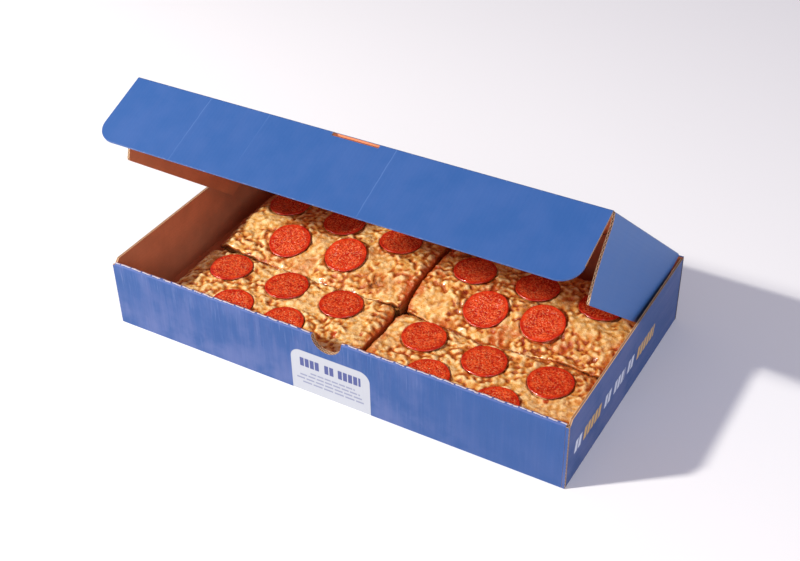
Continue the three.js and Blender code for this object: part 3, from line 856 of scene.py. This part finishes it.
def slice_plan(s, a, b, inset, tuck):
    """A point of a slice for a and b from -1 to 1 across it: a rectangle with eased, wandering sides. The
    side joined to the next slice keeps to the line they share, tuck short of it."""
    half_x, half_y = (s["x"][1] - s["x"][0]) / 2, (s["y"][1] - s["y"][0]) / 2
    at_join = np.clip(s["join"] * b, 0, 1)
    joined = at_join > 0.999
    corner = np.abs(a) ** 6 * np.abs(b) ** 6 * 2.4
    wave_x = 0.55 * (np.sin(b * 5 + s["x"][0]) - 1) * a**4
    wave_y = 0.55 * (np.sin(a * 9 + s["y"][0]) - 1) * b**4
    ragged = 0.45 * cloud(a * half_x, b * half_y, 7.0, s["seed"] + 5, 3)
    x = sum(s["x"]) / 2 + a * (half_x - inset - corner + wave_x + ragged * np.abs(a) ** 8)
    y = sum(s["y"]) / 2 + b * (half_y - np.where(joined, tuck, inset) - corner + wave_y * (1 - at_join))
    wander = s["wave"] * np.sin(2 * math.pi * (x - 112) / 136) * np.clip((x + 200) / 100, 0, 1)
    wander = wander + 0.9 * cloud(x, x * 0, 8.0, 99, 2)
    y = y + at_join**4 * (wander + 0.24 * s["join"])
    return x, y + (1 - at_join) * ragged * np.sign(b) * np.abs(b) ** 8


def to_rim(s, x, y):
    """Distance to the nearest side of the slice that isn't joined to another."""
    free = y - s["y"][0] if s["join"] > 0 else s["y"][1] - y
    return np.minimum(np.minimum(x - s["x"][0], s["x"][1] - x), free)


def to_join(s, y):
    """Distance to the line where the slice meets the one before or behind it."""
    return s["y"][1] - y if s["join"] > 0 else y - s["y"][0]


def shreds(s, x, y):
    """Relief of half-melted shreds, 0 to about 1: each is a bump round a short line, and they pile up."""
    random = np.random.default_rng(s["seed"])
    relief = np.zeros_like(x)
    x0, y0 = s["x"][0], s["y"][0]
    step_x = (s["x"][1] - x0) / (x.shape[1] - 1)
    step_y = (s["y"][1] - y0) / (x.shape[0] - 1)
    for _ in range(int((s["x"][1] - x0) * (s["y"][1] - y0) / 6.5)):
        cx, cy = random.uniform(x0, s["x"][1]), random.uniform(y0, s["y"][1])
        turn, half = random.uniform(0, math.pi), 1.9 * random.uniform(0, 1) ** 2
        wide, tall = random.uniform(1.3, 3.2), random.uniform(0.3, 1.0)
        reach = half + wide + 1
        i0, i1 = int((cx - reach - x0) / step_x), int((cx + reach - x0) / step_x) + 2
        j0, j1 = int((cy - reach - y0) / step_y), int((cy + reach - y0) / step_y) + 2
        window = (slice(max(j0, 0), max(j1, 0)), slice(max(i0, 0), max(i1, 0)))
        dx, dy = x[window] - cx, y[window] - cy
        if dx.size == 0:
            continue
        along = np.clip(dx * math.cos(turn) + dy * math.sin(turn), -half, half)
        away = np.hypot(dx - along * math.cos(turn), dy - along * math.sin(turn)) / wide
        lump = tall * np.clip(1 - away**2, 0, 1) ** 0.8
        piled = relief[window]
        relief[window] = np.maximum(piled, lump) + 0.28 * np.minimum(piled, lump)
    return relief


def blur(values, times):
    """Softens a grid by repeated three-point averages."""
    for _ in range(times):
        for axis in (0, 1):
            padded = np.pad(values, [(1, 1) if k == axis else (0, 0) for k in (0, 1)], mode="edge")
            first = np.take(padded, range(values.shape[axis]), axis=axis)
            last = np.take(padded, range(2, values.shape[axis] + 2), axis=axis)
            values = (first + 2 * values + last) / 4
    return values


def round_distance(s, x, y):
    """Distance from the nearest pepperoni's edge, negative under it."""
    return np.min([np.hypot(x - px, y - py) for px, py in s["rounds"]], axis=0) - ROUND_RADIUS


def slab(name, s, material, bottom, top, insets, rings, spacing, tuck=0.0):
    """A closed body over a slice's plan between two heights: a fine grid on top, rings down its sides
    as (inset, share of the height), and a fan below. insets are the foot's and the top's, and tuck is
    how far it stops short of the line shared with the next slice."""
    wide, deep = int((s["x"][1] - s["x"][0]) / spacing), int((s["y"][1] - s["y"][0]) / spacing)
    a, b = np.meshgrid(np.linspace(-1, 1, wide + 1), np.linspace(-1, 1, deep + 1))
    x, y = slice_plan(s, a, b, insets[1], tuck)
    z, extra = top(x, y)
    index = np.arange(x.size).reshape(x.shape)
    rim = np.concatenate([index[0, :-1], index[:-1, -1], index[-1, :0:-1], index[:0:-1, 0]])
    points = [np.stack([x, y, z], axis=-1).reshape(-1, 3)]
    values = {key: [grid.ravel()] for key, grid in extra.items()}
    faces = [cells(index).reshape(-1, 4).tolist()]
    upper, count = rim, x.size
    rim_a, rim_b, rim_top = a.ravel()[rim], b.ravel()[rim], z.ravel()[rim]
    for inset, share in [*rings, (insets[0], 0.0)]:
        rx, ry = slice_plan(s, rim_a, rim_b, inset, tuck)
        low = bottom(rx, ry)
        shift = 0.0
        if 0 < share < 1:
            shift = 0.35 * cloud(rim_a * 90, rim_b * 90 + share * 11, 2.5, s["seed"] + 9, 2)
        rz = low * (1 - share) + rim_top * share
        ring = [rx + shift * np.abs(rim_a) ** 9, ry + shift * np.abs(rim_b) ** 9, rz]
        points.append(np.stack(ring, axis=-1))
        lower = count + np.arange(len(rim))
        after = np.roll(np.arange(len(rim)), -1)
        faces.append(np.stack([lower, lower[after], upper[after], upper], axis=-1).tolist())
        for key in values:
            values[key].append(extra_side(key, extra[key].ravel()[rim], share, s["join"] * rim_b > 0.99))
        upper, count = lower, count + len(rim)
    centre = np.array([[sum(s["x"]) / 2, sum(s["y"]) / 2, 0.0]])
    centre[0, 2] = bottom(centre[:, 0], centre[:, 1])[0]
    points.append(centre)
    for key in values:
        values[key].append(values[key][-1][:1])
    fan = np.stack([np.full(len(rim), count), upper[np.roll(np.arange(len(rim)), -1)], upper], axis=-1)
    faces.append(fan.tolist())
    flat = [f for group in faces for f in group]
    fields = {key: np.concatenate(parts) for key, parts in values.items()}
    return mesh_piece(name, np.concatenate(points), flat, [material], fields=fields)


def extra_side(key, rim_values, share, joined):
    """How a stored number changes down a slice's side; the last case is the curd."""
    if key == "warm":
        return np.maximum(rim_values, 0.9 - 0.25 * share)
    if key == "brown":
        # On the sides along the seam the brown is pushed high enough to turn near-black: painted shade in the
        # cut between slices.
        return np.where(joined & (share < 0.7), 1.25, rim_values)
    if key == "low":
        return np.full_like(rim_values, 1 - share)
    return rim_values * 0.5


def slice_pieces(name, s, materials):
    """Dough, sauce and cheese of one slice, and the rounds on it."""
    cheese, sauce, dough, meat = materials

    def smooth_top(x, y):
        rim = np.clip(to_rim(s, x, y) / 9, 0, 1)
        return slice_top(s, x, y) - SHOULDER * (1 - rim) ** 2

    def under(depth):
        return lambda x, y: smooth_top(x, y) - depth

    def cheese_top(x, y):
        relief = blur(shreds(s, x, y), 3)
        proud = relief - blur(relief, 14)
        gap = round_distance(s, x, y)
        bake = s["bake"]
        puddle = np.clip(0.4 + 2.4 * cloud(x, y, 20, s["seed"] + 1) - 0.25 * bake, 0, 1)
        seam = 1 - np.clip(to_join(s, y) / 3.5, 0, 1)
        clear = (0.4 + 0.6 * np.clip(gap / 2.5, 0, 1)) * (1 - seam)
        lump = relief * (1 - 0.75 * puddle) * clear
        rim = np.clip(to_rim(s, x, y) / (7 + 5 * cloud(x, y, 9, s["seed"] + 12, 2)), 0, 1)
        z = smooth_top(x, y) - 1.0 + 1.9 * lump + 0.7 * puddle * clear
        z += 1.1 * cloud(x, y, 15, s["seed"] + 2, 3) * (1 - seam) - 0.4 * seam * (s["join"] > 0)
        z += 0.3 * cloud(x, y, 3.2, 77, 2) + seam * (1.0 * cloud(x, y, 5, 78, 3) - 0.1 * seam)
        lip = 0.6 * np.exp(-(((gap - 1.0) / 1.2) ** 2))
        pressed = np.minimum(z, slice_top(s, x, y) - 0.9)
        z = np.where(gap < -0.5, pressed, z + lip * np.clip((gap + 0.5) / 0.9, 0, 1))
        patches = cloud(x, y, 20, s["seed"] + 3)
        speckle = cloud(x, y, 5, s["seed"] + 4)
        # The brown is raised a little next to the seam between slices: painted shade.
        brown = 0.55 * patches + 0.4 * speckle + 0.3 * bake + 0.1 + 0.1 * seam - 0.2 * puddle
        oily = np.exp(-np.clip(gap, 0, None) / 1.4) * 0.2
        red = bake * np.clip(cloud(x, y, 16, s["seed"] + 6) + 0.1, 0, 1) * 0.9
        warm = np.clip((1 - rim) ** 0.8 * 0.95 + oily + red, 0, 1)
        curd = 0.34 + 2.3 * proud * (1 - 0.6 * puddle) + 0.24 * relief * (1 - puddle)
        curd = curd + 0.42 * puddle - 0.1 * bake
        return z, {"curd": np.clip(curd, 0, 1.2), "brown": np.clip(brown, 0, 1.4), "warm": warm}

    def plain_top(depth):
        def top(x, y):
            return smooth_top(x, y) - depth, {"low": np.zeros_like(x)}

        return top

    def foot(x, y):
        return np.full_like(x, FOOD_FLOOR)

    fine = SPACING * 1
    body = slab(
        "cheese_on_" + name, s, cheese, under(CHEESE), cheese_top, (1.0, 0.6),
        [(0.15, 0.85), (0.05, 0.6), (0.3, 0.3)], fine,
    )
    depth = CHEESE + LAYER_GAP + SAUCE
    wet = slab(
        "sauce_on_" + name, s, sauce, under(depth), plain_top(CHEESE + LOOK_GAP), (1.0, 1.0),
        [(0.6, 0.5)], 2.0, 3.0,
    )
    base = slab(
        "base_of_" + name, s, dough, foot, plain_top(depth + LOOK_GAP), (3.0, 1.4),
        [(0.8, 0.85), (0.5, 0.6), (0.6, 0.35), (1.4, 0.12)], 1.6, 3.0,
    )
    pieces = [body, wet, base]
    for piece, slot in zip(pieces, ("cheese", "sauce", "dough")):
        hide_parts(f"{slot}_{name}")
    for k, centre in enumerate(s["rounds"]):
        disc = pepperoni_round(f"round_{name}_{k + 1}", s, centre, meat, s["seed"] * 10 + k)
        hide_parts(f"pepperoni_{name}_{k + 1}")
        pieces.append(disc)
    return pieces


def pepperoni_round(name, s, centre, material, seed):
    """A round of sausage: rings from the middle out over a low raised rim and in again below; its edge
    wanders a little, and the whole disc is tilted with the slice."""
    px, py = centre
    profile = [(0.0, 1.35), (0.12, 1.36), (0.25, 1.38), (0.4, 1.42), (0.55, 1.46), (0.68, 1.52)]
    profile += [(0.78, 1.6), (0.86, 1.74), (0.915, 1.92), (0.95, 2.02), (0.975, 2.0), (0.99, 1.86)]
    profile += [(1.0, 1.6), (0.998, 1.1), (0.98, 0.6), (0.94, 0.2), (0.6, 0.1), (0.0, 0.1)]
    around = 96  # points in each ring
    turns = np.linspace(0, 2 * math.pi, around, endpoint=False)
    share = np.array([p[0] for p in profile])[:, None]
    high = np.array([p[1] for p in profile])[:, None]
    wander = 0.22 * np.sin(2 * turns + seed) + 0.14 * np.sin(3 * turns + 2.1 * seed)
    wander = wander + 0.1 * np.sin(7 * turns + seed)
    radius = share * (ROUND_RADIUS - 0.25 + wander * share**2)
    dx, dy = radius * np.cos(turns), radius * np.sin(turns)
    rough = 0.16 * cloud(dx + px, dy + py, 3.2, seed, 3) + 0.22 * cloud(dx + px, dy + py, 12, seed + 1, 2)
    top_side = np.clip((high - 0.3) / 0.8, 0, 1)
    lift = high * (ROUND_THICKNESS / 2.02) + rough * top_side
    step = 8.0
    slope_x = (slice_top(s, px + step, py) - slice_top(s, px - step, py)) / (2 * step)
    slope_y = (slice_top(s, px, py + step) - slice_top(s, px, py - step)) / (2 * step)
    base = slice_top(s, px, py) - 0.4 + slope_x * dx + slope_y * dy
    points = np.stack([px + dx - slope_x * lift, py + dy - slope_y * lift, base + lift], axis=-1)
    inner = points[1:-1].reshape(-1, 3)
    points = np.concatenate([points[0, :1], inner, points[-1, :1]])
    index = 1 + np.arange(len(inner)).reshape(-1, around)
    after = np.roll(index, -1, axis=1)
    faces = [[0, int(a), int(b)] for a, b in zip(index[0], after[0])]
    quads = np.stack([index[:-1], index[1:], after[1:], after[:-1]], axis=-1).reshape(-1, 4)
    faces += quads.tolist()
    last = len(points) - 1
    faces += [[last, int(b), int(a)] for a, b in zip(index[-1], after[-1])]
    radial = np.concatenate([[0], np.repeat(share[1:-1, 0], around), [0]])
    return mesh_piece(name, points, faces, [material], fields={"radial": radial})


# ------------------------------------------------------------------ stage
def stage():
    """A plain pale floor, a soft key light from the left front and a quiet fill."""
    floor = Shader("floor", roughness=0.9, specular_ior_level=0.1, base_color=(0.86, 0.86, 0.87, 1))
    corners = [(-4000, -4000, -0.1), (4000, -4000, -0.1), (4000, 4000, -0.1), (-4000, 4000, -0.1)]
    ground = mesh_piece("floor", corners, [[0, 1, 2, 3]], [floor.material], smooth=False)
    ground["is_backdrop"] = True
    world = bpy.data.worlds.new("studio")
    world.use_nodes = True
    world.node_tree.nodes["Background"].inputs["Color"].default_value = (0.86, 0.80, 1.0, 1)
    world.node_tree.nodes["Background"].inputs["Strength"].default_value = 0.37
    bpy.context.scene.world = world
    lamp("key", (-1.17, -1.13, 1.05), 2.2, 0.13, 70, (1.0, 0.96, 0.88))
    lamp("fill", (1.0, -0.75, 0.7), 2.6, 1.4, 26, (0.94, 0.95, 1.0))


def lamp(name, toward, distance, size, power, colour):
    """A square soft light aimed at the pizza from a direction."""
    data = bpy.data.lights.new(name, "AREA")
    data.size, data.energy, data.color = size, power, colour
    light = bpy.data.objects.new(name, data)
    direction = Vector(toward).normalized()
    light.location = Vector((0, 0, 0.05)) + direction * distance
    light.rotation_mode = "QUATERNION"
    light.rotation_quaternion = (-direction).to_track_quat("-Z", "Y")
    bpy.context.scene.collection.objects.link(light)


def camera():
    """Camera at the front right, looking down."""
    azimuth, elevation, roll = math.radians(30.75), math.radians(36.49), math.radians(-1.33)
    level = math.cos(elevation)
    back = Vector((math.sin(azimuth) * level, -math.cos(azimuth) * level, math.sin(elevation)))
    right = (-back).cross(Vector((0, 0, 1))).normalized()
    up = right.cross(-back)
    turned_right = math.cos(roll) * right + math.sin(roll) * up
    turned_up = math.cos(roll) * up - math.sin(roll) * right
    data = bpy.data.cameras.new("camera")
    data.sensor_width, data.lens = 36.0, 58.86
    data.clip_start, data.clip_end = 0.01, 50
    made = bpy.data.objects.new("camera", data)
    turn = Matrix((turned_right, turned_up, back)).transposed()
    made.matrix_world = Matrix.Translation(Vector((0.4156, -0.6941, 0.6366))) @ turn.to_4x4()
    bpy.context.scene.collection.objects.link(made)
    bpy.context.scene.camera = made


# ------------------------------------------------------------------ build
def ride_all(pieces, body, node=None):
    """Lets the pieces move with a body and, where a node is given, stand in for it as board."""
    for piece in pieces:
        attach(piece, body)
        if node:
            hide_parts(node)


ride_all(tray_pieces(), "tray_and_pizza", "tray")
lid_look = [printed_blue("lid_print", BLUE, crease=-LID_REACH, wear=0.15), kraft(), raw_fluted(), raw_plain()]
ride_all([lid_piece(lid_look)], "lid", "lid_panel")
flap_print = printed_blue("flap_print", BLUE, crease=0.8, wear=0.12, lines=(-119, -69, 33))
flap_look = [flap_print, kraft(), raw_fluted(), raw_plain()]
ride_all(front_flap(flap_look), "front_flap", "lid_front_flap")
# The side flaps take the lighter blue: painted sheen.
side_look = [printed_blue("side_print", FLAP_BLUE_PAINTED_SHEEN, wear=0.1), *flap_look[1:]]
ride_all(side_flap(-1, LEFT_FOLD, side_look), "left_flap", "lid_left_flap")
ride_all(side_flap(1, RIGHT_FOLD, side_look), "right_flap", "lid_right_flap")
food = [cheese_material(), sauce_material(), dough_material(), pepperoni_material()]
for slice_name, slice_sizes in SLICES.items():
    ride_all(slice_pieces(slice_name, slice_sizes, food), "tray_and_pizza")
stage()
camera()
bpy.context.scene.view_settings.view_transform = "Standard"

shown_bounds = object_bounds()
sizes = {"packed": packed_bounds, "shown": shown_bounds}
{key: [list(corner) for corner in pair] for key, pair in sizes.items()}
